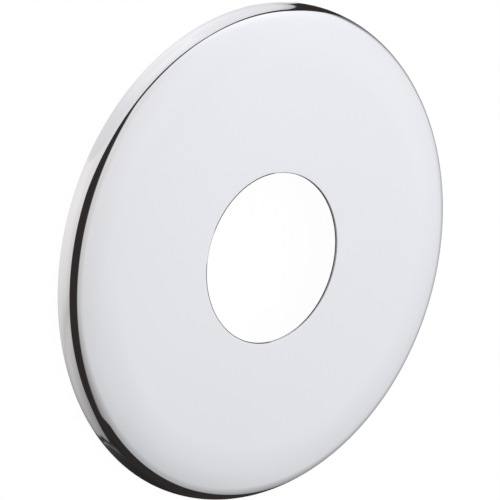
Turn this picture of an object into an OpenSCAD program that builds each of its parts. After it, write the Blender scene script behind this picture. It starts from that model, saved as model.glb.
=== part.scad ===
// Tap rosette: the cover plate that hides the hole in the wall behind a half-inch tap.
// It is one pressed disc of thin plated sheet: a shallow domed face that bends more and more over a
// shoulder, a border rolled down into a quarter-round skirt that stands on the wall, and a hole
// pierced for the tap's threaded tail.
// The rim lies in the plane z = 0, the hole runs along Z, and the face looks towards +Z.

/* [Disc] */
// Outer diameter across the skirt
outer_d = 65; // [50:0.5:90]
// Thickness of the sheet
sheet_t = 0.35; // [0.25:0.05:0.7]

/* [Face] */
// Outside radius of the domed face
dome_r = 412; // [250:1:1500]
// Outside radius of the shoulder, where the face bends towards the border
shoulder_r = 30; // [15:0.5:60]
// Width of the shoulder, measured inwards from the centre line of the border's roll
shoulder_w = 4.8; // [1:0.1:8]

/* [Border] */
// Outside radius of the rolled border
border_r = 2.61; // [1.2:0.01:6]
// Straight height of the skirt below the rolled border
skirt_h = 0.15; // [0.1:0.05:5]
// Rounding that polishing leaves on the two corners of the trimmed rim
rim_round = 0.06; // [0.02:0.01:0.1]

/* [Hole] */
// Diameter of the pierced hole: a half-inch pipe thread of 20.955 mm passes with room to spare
hole_d = 22.2; // [15:0.1:32]
// Roll-over radius that the punch leaves on the front edge of the hole
hole_roll = 0.14; // [0.02:0.01:0.2]

/* [Hidden] */

chrome = [0.80, 0.81, 0.83];
turn_fn = 240;     // around the axis
dome_fn = 1440;    // on the dome's large arcs
shoulder_fn = 720; // on the shoulder's arcs
border_fn = 192;   // on the border's arcs
edge_fn = 48;      // on the small rounded edges
past = 1;          // how far a cutting outline runs past what it cuts

outer_r = outer_d / 2;
hole_r = hole_d / 2;

// The outside and the inside of each bend share a centre, so the sheet is even. Dome, shoulder and
// border touch without a step or a kink where the line through their centres crosses them.
border_c = [outer_r - border_r, skirt_h];
dome_edge = border_c.x - shoulder_w;
dome_way = [dome_edge / dome_r, sqrt(1 - pow(dome_edge / dome_r, 2))]; // from the centres to the joint
shoulder_x = dome_edge - shoulder_r * dome_way.x;
shoulder_c = [shoulder_x, skirt_h - sqrt(pow(shoulder_r - border_r, 2) - pow(border_c.x - shoulder_x, 2))];
border_way = (border_c - shoulder_c) / norm(border_c - shoulder_c);
dome_c = shoulder_c - dome_way * (dome_r - shoulder_r);
proud = 0.00001; // each tighter bend stands this far proud where it takes over, so no step is left

// A full round of the sheet's outside or inside. Its place is told by its top, so that it stays
// exact, and `lift` raises it there.
module bend(centre, radius, depth, lift, fn) {
    translate([centre.x, centre.y + radius + lift])
    translate([0, -radius]) circle(r = radius - depth, $fn = fn);
}

// Half section of all that lies behind a skin, down to z = foot. The skin runs `depth` inside
// the outer surface, so two of these differ by the sheet.
module behind_skin(depth, foot) {
    dome_end = shoulder_c + dome_way * (shoulder_r + past);
    shoulder_end = border_c + border_way * (border_r + past);
    // Under the dome, as far out as its joint with the shoulder
    intersection() {
        bend(dome_c, dome_r, depth, 0, dome_fn);
        polygon([[0, foot], [shoulder_c.x, foot], shoulder_c, dome_end, [0, dome_end.y + dome_r]]);
    }
    // Under the shoulder, as far out as its joint with the border
    intersection() {
        bend(shoulder_c, shoulder_r, depth, proud, shoulder_fn);
        polygon([[shoulder_c.x, foot], [border_c.x, foot], border_c, shoulder_end,
                 [shoulder_c.x, shoulder_end.y + shoulder_r]]);
    }
    // Under the rolled border
    intersection() {
        bend(border_c, border_r, depth, 2 * proud, border_fn);
        translate([0, skirt_h]) square([outer_r + past, border_r + past]);
    }
    // Inside the straight skirt
    translate([0, foot]) square([outer_r - depth, skirt_h - foot]);
}

// Waste outside a rounded corner. The arc is tangent to both sides of the corner, and `side_a`
// and `side_b` point from its centre to where it meets them.
module corner_waste(centre, side_a, side_b, radius) {
    reach = 2 * radius;
    difference() {
        polygon([centre, centre + side_a * reach, centre + (side_a + side_b) * reach,
                 centre + side_b * reach]);
        translate(centre) circle(r = radius, $fn = edge_fn);
    }
}

// The punched slug, with the front edge of the hole drawn down into a small round
module hole_waste() {
    roll_x = hole_r + hole_roll;
    roll_c = [roll_x, dome_c.y + sqrt(pow(dome_r - hole_roll, 2) - pow(roll_x, 2))];
    translate([-past, -past]) square([hole_r + past, dome_r]);
    corner_waste(roll_c, [-1, 0], (roll_c - dome_c) / norm(roll_c - dome_c), hole_roll);
}

// Both corners of the trimmed edge that stands on the wall
module rim_waste() {
    corner_waste([outer_r - rim_round, rim_round], [1, 0], [0, -1], rim_round);
    corner_waste([outer_r - sheet_t + rim_round, rim_round], [-1, 0], [0, -1], rim_round);
}

module rosette() {
    color(chrome)
    rotate_extrude($fn = turn_fn)
    difference() {
        behind_skin(0, 0);
        behind_skin(sheet_t, -past);
        hole_waste();
        rim_waste();
    }
}

rosette();
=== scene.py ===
# Tap rosette: a chromed disc of thin pressed sheet that hides the hole in the wall behind a tap.
# It lies face up on a pale table, and a white tent with one opening for the camera stands round it.
from math import asin, cos, degrees, pi, radians, sin

import bmesh
import bpy
from mathutils import Matrix, Vector


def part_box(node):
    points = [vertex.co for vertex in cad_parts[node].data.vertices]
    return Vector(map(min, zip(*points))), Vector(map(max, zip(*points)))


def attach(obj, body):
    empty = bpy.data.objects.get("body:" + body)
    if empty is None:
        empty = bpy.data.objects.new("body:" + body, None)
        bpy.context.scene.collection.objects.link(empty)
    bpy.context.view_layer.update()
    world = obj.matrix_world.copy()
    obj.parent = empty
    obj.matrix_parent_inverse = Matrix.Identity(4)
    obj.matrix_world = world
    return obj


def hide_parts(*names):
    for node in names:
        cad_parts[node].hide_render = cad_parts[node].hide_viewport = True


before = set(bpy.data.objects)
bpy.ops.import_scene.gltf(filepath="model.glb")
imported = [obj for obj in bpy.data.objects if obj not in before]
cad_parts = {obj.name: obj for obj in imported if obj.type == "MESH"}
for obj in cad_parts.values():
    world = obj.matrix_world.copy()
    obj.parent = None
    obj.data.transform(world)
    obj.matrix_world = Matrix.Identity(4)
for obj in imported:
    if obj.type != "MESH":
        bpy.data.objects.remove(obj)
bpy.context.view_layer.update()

mm = 0.001
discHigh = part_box("rosette")[1]     # the highest corner of the disc's box
scene = bpy.context.scene
scene.view_settings.view_transform = "Standard"


# Camera
# It looks down on the face at 44 degrees from the axis, rolled, from a metre away.
camera = {
    "distance": 1.0,           # from the middle of the rim
    "tilt": 44.098,            # degrees between the line of sight and the disc's axis
    "roll": 17.132,            # degrees that the disc's axis leans in the picture
    "pixelsPerMetre": 7810.4,  # at that distance, in a picture 500 pixels wide
    "aim": (251.04, 251.638),  # where the middle of the rim lands, in pixels
    "picture": 500,
    "sensor": 36.0,
    "clip": (0.05, 20),        # the nearest and farthest that it sees
}


def pictureAxes():
    tilt, roll = radians(camera["tilt"]), radians(camera["roll"])
    towards = Vector((0, -sin(tilt), cos(tilt)))
    across = Vector((-sin(roll), cos(roll) * cos(tilt), cos(roll) * sin(tilt)))
    return across, towards.cross(across), towards


across, upwards, towards = pictureAxes()


def makeCamera():
    data = bpy.data.cameras.new("camera")
    data.sensor_width = camera["sensor"]
    data.lens = camera["pixelsPerMetre"] * camera["distance"] * camera["sensor"] / camera["picture"]
    data.clip_start, data.clip_end = camera["clip"]
    offset = [(pixel - camera["picture"] / 2) / camera["pixelsPerMetre"] for pixel in camera["aim"]]
    place = towards * camera["distance"] - across * offset[0] + upwards * offset[1]
    turned = Matrix((across, upwards, towards)).transposed().to_4x4()
    made = bpy.data.objects.new("camera", data)
    made.matrix_world = Matrix.Translation(place) @ turned
    scene.collection.objects.link(made)
    scene.camera = made


makeCamera()
print("camera placed")


# Shader maths: a wrapped socket, on which + - * / add Math nodes
class Wire:
    def __init__(self, tree, socket=None):
        self.tree = tree
        self.socket = socket

    # Adds a node: its type, its settings, then what its inputs hold or are linked to
    def node(self, kind, settings=None, inputs=None, output=0):
        made = self.tree.nodes.new(kind)
        for name, value in (settings or {}).items():
            if name == "stops":
                fillRamp(made.color_ramp, value)
            else:
                setattr(made, name, value)
        for name, value in (inputs or {}).items():
            if isinstance(value, Wire):
                self.tree.links.new(value.socket, made.inputs[name])
            else:
                made.inputs[name].default_value = value
        return Wire(self.tree, made.outputs[output]) if len(made.outputs) else None

    def maths(self, operation, *values):
        return self.node("ShaderNodeMath", {"operation": operation}, dict(enumerate(values)))

    def __add__(self, other):
        return self.maths("ADD", self, other)

    def __radd__(self, other):
        return self.maths("ADD", other, self)

    def __sub__(self, other):
        return self.maths("SUBTRACT", self, other)

    def __rsub__(self, other):
        return self.maths("SUBTRACT", other, self)

    def __mul__(self, other):
        return self.maths("MULTIPLY", self, other)

    def __rmul__(self, other):
        return self.maths("MULTIPLY", other, self)

    def __truediv__(self, other):
        return self.maths("DIVIDE", self, other)

    def __rtruediv__(self, other):
        return self.maths("DIVIDE", other, self)


# A ramp keeps its stops in order, so they are placed first and coloured after
def fillRamp(ramp, stops):
    places = [stop[0] for stop in stops]
    ramp.elements[0].position = places[0]
    ramp.elements[1].position = places[-1]
    for place in places[1:-1]:
        ramp.elements.new(place)
    for element, (place, colour) in zip(ramp.elements, stops):
        element.color = colour


# Clears a node tree and returns it wrapped, to add nodes from
def emptyTree(owner):
    owner.use_nodes = True
    owner.node_tree.nodes.clear()
    return Wire(owner.node_tree)


def grey(level):
    return (level, level, level, 1.0)


# 0 below the middle, 1 above it, with a soft step of that width
def softStep(value, middle, width):
    return value.node("ShaderNodeMapRange", {"interpolation_type": "SMOOTHSTEP"},
                      {"Value": value, "From Min": middle - width / 2, "From Max": middle + width / 2})


# A mix of two colours by a mask
def blendColour(mask, first, second):
    return mask.node("ShaderNodeMix", {"data_type": "RGBA"}, {0: mask, 6: first, 7: second}, output=2)


# A mix of two numbers by a mask
def blendNumber(mask, first, second):
    return mask.node("ShaderNodeMix", {"data_type": "FLOAT"}, {0: mask, 2: first, 3: second})


def smaller(first, *others):
    for other in others:
        first = first.maths("MINIMUM", first, other)
    return first


def larger(first, *others):
    for other in others:
        first = first.maths("MAXIMUM", first, other)
    return first


# A ramp of grey levels over a value that runs from one end to the other
def levels(value, stops, ends):
    lowest, highest = ends
    span = highest - lowest
    places = [((at - lowest) / span, grey(level)) for at, level in stops]
    return value.node("ShaderNodeValToRGB", {"stops": places}, {0: (value - lowest) / span})


# A tint at a level of brightness
def tinted(level, tint):
    return level.node("ShaderNodeVectorMath", {"operation": "SCALE"}, {0: tint, "Scale": level})


# One of a vector's three numbers
def part(vector, axis):
    return vector.node("ShaderNodeSeparateXYZ", inputs={0: vector}, output=axis)


# Surroundings
# What the polished metal mirrors: a screen at the right and one at the left, a ceiling over them, and
# the dark gaps between them. A direction is told by its turn round the picture's upright, from the
# camera towards picture right, and by its height, both in degrees.
studio = {
    # Straight edges. The first three numbers point across, up and towards the camera, to the side on
    # which the screen, the dark strip or the dark corner lies, and the last is how soft the edge is.
    "leftScreenEdge": (-1.0, 0.19, -0.41, 0.05),
    "rightScreenEdge": (1.0, 0.057, -0.352, 0.12),
    "rightScreenTop": (1.075, -1.0, 0.265, 0.02),
    "rightScreenTopBack": (0.94, -1.0, -0.135, 0.02),
    "ceilingFront": (-1.05, 1.0, -0.572, 0.02),
    "ceilingCorner": (-1.314, 1.0, -0.169, 0.02),
    "ceilingSide": (-0.952, 1.0, 0.557, 0.02),
    "ceilingBack": (-2.4, 1.0, 0.155, 0.02),
    "stripLeft": (1.0, -0.266, 0.0, 0.03),
    "stripRight": (-1.0, -0.478, -0.155, 0.03),
    "stripBack": (-1.0, -0.583, 0.0, 0.03),
    "stripFront": (0.0, -0.348, -1.0, 0.03),
    "cornerTop": (0.05, -1.0, 0.1, 0.04),
    "cornerSide": (1.0, -0.34, -0.363, 0.03),
    "cornerFront": (1.0, -0.05, -0.95, 0.03),
    "cornerBack": (-1.0, 0.0, 0.0, 0.06),
    # Places where one thing gives way to another, and how softly: heights or turns in degrees
    "rightFrom": (0, 1),
    "leftUntil": (90, 1),
    "leftBehind": (-90, 1),
    "ceilingHem": (30, 3),        # above it the ceiling is seen and not the left screen,
    "ceilingFrom": (-18, 10),     # and at any height between these two turns
    "ceilingUntil": (150, 1),
    "acrossSplit": (0, 10),
    "warmUntil": (48, 60),
    "warmBelow": (8, 30),
    "dullFrom": (143, 14),
    "darkSplit": (-45, 20),
    # The right screen's brightness over its height, then over its turn, below the horizon and above it
    "rightScreen": ((-66, 0.45), (-52, 0.53), (-44, 0.63), (-39, 0.69), (-34, 0.785), (-31, 0.835),
                    (-26, 0.875), (-20, 0.935), (-10, 1.005), (5, 1.05), (20, 1.08), (44, 1.2)),
    "rightAcrossLow": ((18, 0.83), (28, 0.73), (40, 0.81), (52, 0.905), (60, 0.925), (71, 0.99),
                       (79, 1.0), (84, 1.03), (100, 1.03), (112, 0.98), (120, 0.9), (130, 0.8),
                       (140, 0.68), (150, 0.5), (158, 0.42), (168, 0.34)),
    "rightAcrossHigh": ((18, 0.9), (28, 0.79), (40, 0.86), (52, 0.92), (70, 0.99), (85, 1.03),
                        (115, 0.97), (128, 0.94), (138, 0.87), (148, 0.6), (156, 0.4), (168, 0.33),
                        (180, 0.33)),
    "dullWithin": (0.11, 0.2),    # how far in from its top the back of it is dull, and how much
    "dullLoss": 0.62,
    # The left screen's and the ceiling's, over height and over turn
    "leftScreen": ((-76, 0.28), (-64, 0.43), (-54, 0.53), (-44, 0.64), (-38, 0.65), (-33, 0.61),
                   (-24, 0.78), (-14, 0.86), (0, 0.93), (12, 0.99), (28, 0.98)),
    "leftScreenAcross": ((-152, 0.5), (-140, 0.56), (-130, 0.71), (-118, 0.84), (-105, 0.94),
                         (-90, 1.0), (-50, 1.0), (-38, 0.92)),
    "ceiling": ((32, 0.85), (48, 0.9), (62, 1.02), (75, 1.05), (90, 1.07)),
    "ceilingAcross": ((-180, 1.04), (-130, 1.055), (-112, 1.03), (-95, 0.99), (-50, 0.98),
                      (-28, 0.99), (-8, 1.04), (38, 1.055), (58, 1.0), (75, 0.965), (140, 0.965),
                      (160, 1.0), (180, 1.04)),
    "hemWithin": (0.05, 0.1),     # how far in from its side the ceiling is duller, and how much
    "hemLoss": 0.3,
    "peak": 1.25,                 # the ramps hold brightness as a share of this
    "heights": (-90, 90),
    "turns": (-180, 180),
    # The dark corner: how bright it is by the depth inside it, above its foot, and a thin curved line
    # of light in it, which lies at one depth inside an edge
    "corner": ((0, 0), (0.03, 0.035), (0.06, 0.06), (0.08, 0.03), (0.13, 0.018), (0.2, 0.005), (0.3, 0)),
    "cornerDepths": (0, 0.3),
    "cornerFoot": (-77, 8),
    "cornerLeast": 0.022,
    "slit": (0.11, -0.713, -0.637),
    "slitDepth": 0.862,
    "slitWidth": (0.002, 0.0115),
    "slitTop": (-40, 5),
    "slitFoot": (-71, 6),
    "slitEnd": (-100, 10),
    "slitBright": 0.25,
    # Tints: of the light on the screens, and the colour of the dark, low down and high up
    "leftTint": (1.015, 0.985, 0.965),
    "ceilingTint": (1.0, 0.985, 1.005),
    "rightTint": (0.998, 0.995, 1.022, 1.0),
    "rightTintNear": (1.03, 0.99, 0.965, 1.0),
    "dark": (0.032, 0.027, 0.026, 1.0),
    "darkHigh": (0.037, 0.03, 0.029, 1.0),
}


# The colour that comes from each direction
def surroundings(start):
    direction = start.node("ShaderNodeTexCoord", output="Generated")

    def along(axis):
        return start.node("ShaderNodeVectorMath", {"operation": "DOT_PRODUCT"}, {0: direction, 1: axis},
                          output="Value")

    def depth(name):
        x, y, z = studio[name][:3]
        return along((across * x + upwards * y + towards * z).normalized())

    def inside(name):
        return softStep(depth(name), 0, studio[name][3])

    def past(value, name):
        return softStep(value, *studio[name])

    def bright(name, value, ends):
        stops = [(at, level / studio["peak"]) for at, level in studio[name]]
        return levels(value, stops, studio[ends]) * studio["peak"]

    height = start.maths("ARCSINE", along(upwards)) * degrees(1)
    turn = start.maths("ARCTAN2", along(across), along(towards)) * degrees(1)

    # Where each thing is seen
    underCeiling = larger(inside("rightScreenTop"), inside("rightScreenTopBack"))
    rightMask = smaller(inside("rightScreenEdge"), underCeiling, past(turn, "rightFrom"))
    leftFront = smaller(inside("leftScreenEdge"), 1 - past(turn, "leftUntil"))
    leftMask = larger(leftFront, 1 - past(turn, "leftBehind"))
    ceilingMask = smaller(inside("ceilingFront"), inside("ceilingCorner"),
                          larger(inside("ceilingSide"), inside("ceilingBack")))
    ceilingAhead = smaller(past(turn, "ceilingFrom"), 1 - past(turn, "ceilingUntil"))
    ceilingShare = larger(past(height, "ceilingHem"), ceilingAhead)
    strip = smaller(inside("stripLeft"), inside("stripRight"), inside("stripBack"), inside("stripFront"))
    corner = smaller(inside("cornerTop"), inside("cornerSide"), inside("cornerFront"),
                     inside("cornerBack"))

    # Right screen
    low, high = bright("rightAcrossLow", turn, "turns"), bright("rightAcrossHigh", turn, "turns")
    rightAcross = blendColour(past(height, "acrossSplit"), low, high)
    dull = smaller(1 - past(depth("rightScreenTopBack"), "dullWithin"), past(turn, "dullFrom"))
    warm = smaller(1 - past(turn, "warmUntil"), 1 - past(height, "warmBelow"))
    right = bright("rightScreen", height, "heights") * rightAcross * (1 - dull * studio["dullLoss"])
    right = tinted(right, blendColour(warm, studio["rightTint"], studio["rightTintNear"]))

    # Left screen and ceiling
    left = bright("leftScreen", height, "heights") * bright("leftScreenAcross", turn, "turns")
    left = tinted(left, studio["leftTint"])
    hem = past(larger(depth("ceilingSide"), depth("ceilingBack")), "hemWithin")
    ceiling = bright("ceiling", height, "heights") * bright("ceilingAcross", turn, "turns")
    ceiling = ceiling * (hem * studio["hemLoss"] + (1 - studio["hemLoss"]))
    ceiling = tinted(ceiling, studio["ceilingTint"])

    # Dark corner, and the dark everywhere else
    slit = 1 - past(start.maths("ABSOLUTE", depth("slit") - studio["slitDepth"]), "slitWidth")
    slit = smaller(slit, 1 - past(height, "slitTop"), past(height, "slitFoot"),
                   1 - past(turn, "slitEnd"))
    gap = bright("corner", smaller(depth("cornerSide"), depth("cornerFront")), "cornerDepths")
    gap = gap * past(height, "cornerFoot") + slit * studio["slitBright"] + studio["cornerLeast"]
    gap = tinted(gap, studio["leftTint"])
    shade = blendColour(past(height, "darkSplit"), studio["dark"], studio["darkHigh"])

    seen = blendColour(larger(ceilingMask, leftMask), shade, blendColour(ceilingShare, left, ceiling))
    seen = blendColour(rightMask, seen, right)
    seen = blendColour(strip, seen, shade)
    return blendColour(corner, seen, gap)


def makeWorld():
    world = bpy.data.worlds.new("studio")
    scene.world = world
    start = emptyTree(world)
    lit = start.node("ShaderNodeBackground", inputs={"Color": surroundings(start)})
    plain = start.node("ShaderNodeBackground", inputs={"Color": grey(1)})
    isCamera = start.node("ShaderNodeLightPath", output="Is Camera Ray")
    surface = start.node("ShaderNodeMixShader", inputs={0: isCamera, 1: lit, 2: plain})
    start.node("ShaderNodeOutputWorld", inputs={"Surface": surface})


makeWorld()
print("surroundings made")


# Floor, and the card of painted shade and glow under the hole
table = {
    "reach": 3.0,              # half the floor's side
    "glow": 0.965,             # how much of the floor's white is its own
    "answer": 0.06,            # how much of it is light that falls on it, which the disc shades
    "cardRadius": 0.0105,
    "cardHeight": 0.0001,
    "cardSides": 64,
    # how bright the card's painted shade and glow are from side to side, in metres from its middle
    "card": ((-0.0032, 0.02), (-0.0018, 0.08), (0.0015, 0.09), (0.0022, 0.14), (0.0033, 0.4),
             (0.0047, 0.55)),
    "cardEnds": (-0.005, 0.005),
}


def meshObject(name, bm):
    mesh = bpy.data.meshes.new(name)
    bm.to_mesh(mesh)
    bm.free()
    made = bpy.data.objects.new(name, mesh)
    scene.collection.objects.link(made)
    return made


# White to the camera, with the disc's faint shadow. Mirrored rays pass through to the surroundings,
# whose lower half is as pale as the floor, and from below it is clear.
def makeFloor():
    bm = bmesh.new()
    bmesh.ops.create_grid(bm, x_segments=1, y_segments=1, size=table["reach"])
    floor = meshObject("floor", bm)
    material = bpy.data.materials.new("paleFloor")
    start = emptyTree(material)
    glow = start.node("ShaderNodeEmission", inputs={"Color": grey(1), "Strength": table["glow"]})
    answer = start.node("ShaderNodeBsdfDiffuse", inputs={"Color": grey(table["answer"])})
    pale = start.node("ShaderNodeAddShader", inputs={0: glow, 1: answer})
    clear = start.node("ShaderNodeBsdfTransparent")
    isCamera = start.node("ShaderNodeLightPath", output="Is Camera Ray")
    fromBelow = start.node("ShaderNodeNewGeometry", output="Backfacing")
    fromAbove = isCamera * (1 - fromBelow)
    surface = start.node("ShaderNodeMixShader", inputs={0: fromAbove, 1: clear, 2: pale})
    start.node("ShaderNodeOutputMaterial", inputs={"Surface": surface})
    floor.data.materials.append(material)


# Seen only in the metal: a glowing card of painted shade, dark on one side and lighter on the other,
# standing in for the shade under the disc. It is what the cut edge of the hole mirrors.
def makeShadeCard():
    bm = bmesh.new()
    bmesh.ops.create_circle(bm, cap_ends=True, segments=table["cardSides"], radius=table["cardRadius"])
    bmesh.ops.translate(bm, verts=bm.verts, vec=(0, 0, table["cardHeight"]))
    card = meshObject("paintedShadeUnderHole", bm)
    material = bpy.data.materials.new("paintedShadeCard")
    start = emptyTree(material)
    x = part(start.node("ShaderNodeTexCoord", output="Object"), "X")
    # painted shade and glow, darker on one side of the card than on the other
    shade = levels(x, table["card"], table["cardEnds"])
    surface = start.node("ShaderNodeEmission", inputs={"Color": shade})
    start.node("ShaderNodeOutputMaterial", inputs={"Surface": surface})
    card.data.materials.append(material)
    card.visible_camera = False
    card.visible_diffuse = False
    card.visible_shadow = False


makeFloor()
makeShadeCard()
print("floor made")


# Rosette
# One sheet in section: from the top of the hole's cut edge over the rounded corner, out over the domed
# face and its shoulder, round the rolled border, down the skirt, round its trimmed rim, back along
# the inside of the sheet, and up the cut edge.
rosette = {
    "outerRadius": discHigh.x,
    "sheet": 0.35 * mm,
    "domeRadius": 412 * mm,
    "shoulderRadius": 30 * mm,
    "shoulderWidth": 4.8 * mm,
    "borderRadius": 2.61 * mm,
    "skirt": 0.15 * mm,
    "rimRound": 0.06 * mm,
    "holeRadius": 11.1 * mm,
    "holeRoll": 0.14 * mm,
    "domeSteps": 30,
    "shoulderSteps": 40,
    "borderSteps": 70,
    "roundSteps": 8,
    "insideCoarser": 2,        # how many times fewer steps the inside of the sheet has
    "turns": 360,
    "mergeWithin": 0.001 * mm,
    "sharpAngle": 30,          # degrees between faces past which an edge stays sharp
}


# Draws the section in the plane y = 0 as one chain of edges
class Section:
    def __init__(self, bm, x, z):
        self.bm = bm
        self.back = bm.verts.layers.float.new("back")
        self.onBack = 0.0
        self.start = self.tip = bm.verts.new((x, 0, z))

    def advance(self, madeBefore, tip):
        self.tip = tip
        for vert in self.bm.verts[madeBefore:]:
            vert[self.back] = self.onBack

    # An arc about a centre; a positive angle turns from up to outwards
    def arc(self, x, z, angle, steps):
        before = len(self.bm.verts)
        made = bmesh.ops.spin(self.bm, geom=[self.tip], cent=(x, 0, z), axis=(0, 1, 0), angle=angle,
                              steps=steps, use_merge=False, use_normal_flip=False, use_duplicate=False)
        last = [piece for piece in made["geom_last"] if isinstance(piece, bmesh.types.BMVert)]
        self.advance(before, last[0])

    def line(self, x, z):
        before = len(self.bm.verts)
        tip = bmesh.ops.extrude_vert_indiv(self.bm, verts=[self.tip])["verts"][0]
        tip.co = (x, 0, z)
        self.advance(before, tip)

    def close(self):
        self.bm.edges.new((self.tip, self.start))


def makeRosette():
    size = rosette
    outer, sheet, skirt, rim = size["outerRadius"], size["sheet"], size["skirt"], size["rimRound"]
    domeR, shoulderR, borderR = size["domeRadius"], size["shoulderRadius"], size["borderRadius"]
    hole, roll = size["holeRadius"], size["holeRoll"]
    domeSteps, shoulderSteps, borderSteps = size["domeSteps"], size["shoulderSteps"], size["borderSteps"]
    rounds, coarser = size["roundSteps"], size["insideCoarser"]

    # Centres of the arcs, and the angles from the axis at which one hands over to the next
    borderX = outer - borderR
    domeEnd = asin((borderX - size["shoulderWidth"]) / domeR)
    shoulderX = (domeR - shoulderR) * sin(domeEnd)
    shoulderEnd = asin((borderX - shoulderX) / (shoulderR - borderR))
    shoulderZ = skirt - (shoulderR - borderR) * cos(shoulderEnd)
    domeZ = shoulderZ - (domeR - shoulderR) * cos(domeEnd)
    rollEnd = asin((hole + roll) / (domeR - roll))
    rollZ = domeZ + (domeR - roll) * cos(rollEnd)
    insideEnd = asin(hole / (domeR - sheet))

    bm = bmesh.new()
    section = Section(bm, hole, rollZ)
    section.arc(hole + roll, rollZ, pi / 2 + rollEnd, rounds)
    section.arc(0, domeZ, domeEnd - rollEnd, domeSteps)
    section.arc(shoulderX, shoulderZ, shoulderEnd - domeEnd, shoulderSteps)
    section.arc(borderX, skirt, pi / 2 - shoulderEnd, borderSteps)
    section.line(outer, rim)
    section.arc(outer - rim, rim, pi / 2, rounds)
    section.line(outer - sheet + rim, 0)
    section.arc(outer - sheet + rim, rim, pi / 2, rounds)
    section.onBack = 1.0
    section.line(outer - sheet, skirt)
    section.arc(borderX, skirt, shoulderEnd - pi / 2, borderSteps // coarser)
    section.arc(shoulderX, shoulderZ, domeEnd - shoulderEnd, shoulderSteps // coarser)
    section.arc(0, domeZ, insideEnd - domeEnd, domeSteps // coarser)
    section.close()
    bmesh.ops.spin(bm, geom=bm.verts[:] + bm.edges[:], cent=(0, 0, 0), axis=(0, 0, 1), angle=2 * pi,
                   steps=size["turns"], use_merge=True, use_normal_flip=False, use_duplicate=False)
    bmesh.ops.remove_doubles(bm, verts=bm.verts, dist=size["mergeWithin"])
    bmesh.ops.recalc_face_normals(bm, faces=bm.faces)
    for face in bm.faces:
        face.smooth = True
    for edge in bm.edges:
        edge.smooth = edge.calc_face_angle(0) < radians(size["sharpAngle"])
    disc = meshObject("rosette_plate", bm)
    disc.data.materials.append(chromeMaterial())
    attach(disc, "root")
    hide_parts("rosette")
    print("rosette made:", len(disc.data.polygons), "faces")


# Chrome
# A mirror on the front, with the faint rings and waves that buffing leaves. The inside was never
# buffed, so there the plating is thin, greyer and dull.
chrome = {
    "bright": (0.80, 0.81, 0.83, 1.0),
    "warmer": (0.79, 0.80, 0.81, 1.0),
    "inside": (0.58, 0.57, 0.54, 1.0),
    "insideDull": (0.50, 0.49, 0.46, 1.0),
    "gloss": 0.03,             # roughness of the front, and how much the rings add
    "ringHaze": 0.03,
    "insideRough": 0.26,
    "insideUneven": 0.14,
    "ringsPerMetre": 2500,
    "ringSpread": 3.0,         # how quickly a ring changes on its way round
    "ringDetail": 3.0,
    "blotches": (70, 2.0),     # clouds to the metre in the plating's tone, and their detail
    "waves": (90, 1.0),        # waves to the metre in the sheet, and their detail
    "waveHeight": 0.006 * mm,
    "insideGrain": (1400, 4.0),
    "grainHeight": 0.01 * mm,
    # A dark line round the hole's edge on one side: painted shade, with a rough and less metallic
    # finish. Its width grows towards one place, and it fades at another. Edges are cosines of the angle
    # from such a place, and softness.
    "lipShade": (0.05, 0.05, 0.05, 1.0),
    "lipRough": 0.5,
    "lipWidth": 0.125 * mm,
    "lipMore": 0.085 * mm,
    "lipSoft": 0.03 * mm,
    "lipWidest": radians(-105),
    "lipMiddle": radians(-68),
    "lipEdge": (0.0, 0.12),
    "lipGap": radians(-85),
    "lipGapEdge": (0.9816, 0.016),
    "lipGapFade": 0.8,
}


def chromeMaterial():
    look = chrome
    material = bpy.data.materials.new("polishedChrome")
    start = emptyTree(material)
    place = start.node("ShaderNodeTexCoord", output="Object")
    x, y = part(place, "X"), part(place, "Y")
    radius = start.maths("SQRT", x * x + y * y)
    back = start.node("ShaderNodeAttribute", {"attribute_name": "back"}, output="Fac")

    def noise(where, scale, detail):
        return start.node("ShaderNodeTexNoise",
                          inputs={"Vector": where, "Scale": scale, "Detail": detail})

    def facing(angle):
        return (x * cos(angle) + y * sin(angle)) / radius

    spread = look["ringSpread"]
    ringPlace = start.node("ShaderNodeCombineXYZ", inputs={
        0: x / radius * spread,
        1: y / radius * spread,
        2: radius * look["ringsPerMetre"],
    })
    rings = noise(ringPlace, 1.0, look["ringDetail"])
    clouds = noise(place, *look["blotches"])
    grain = noise(place, *look["insideGrain"])
    waves = noise(place, *look["waves"])

    # Painted shade round the hole's edge: a dark line on one half only, wider towards one side and
    # fading at a gap
    width = facing(look["lipWidest"]) * look["lipMore"] + look["lipWidth"]
    lipShade = 1 - softStep(radius - width, rosette["holeRadius"], look["lipSoft"])
    lipShade = lipShade * softStep(facing(look["lipMiddle"]), *look["lipEdge"])
    lipShade = lipShade * (1 - softStep(facing(look["lipGap"]), *look["lipGapEdge"]) * look["lipGapFade"])

    front = blendColour(clouds, look["bright"], look["warmer"])
    front = blendColour(lipShade, front, look["lipShade"])
    inside = blendColour(grain, look["inside"], look["insideDull"])
    frontRough = blendNumber(lipShade, rings * look["ringHaze"] + look["gloss"], look["lipRough"])
    rough = blendNumber(back, frontRough, grain * look["insideUneven"] + look["insideRough"])
    height = blendNumber(back, waves * look["waveHeight"], grain * look["grainHeight"])
    bump = start.node("ShaderNodeBump", inputs={"Height": height, "Strength": 1.0, "Distance": 1.0})
    metal = start.node("ShaderNodeBsdfPrincipled", inputs={
        "Base Color": blendColour(back, front, inside),
        "Metallic": blendNumber(back, 1 - lipShade, 1.0),
        "Roughness": rough,
        "Normal": bump,
    })
    start.node("ShaderNodeOutputMaterial", inputs={"Surface": metal})
    return material


makeRosette()
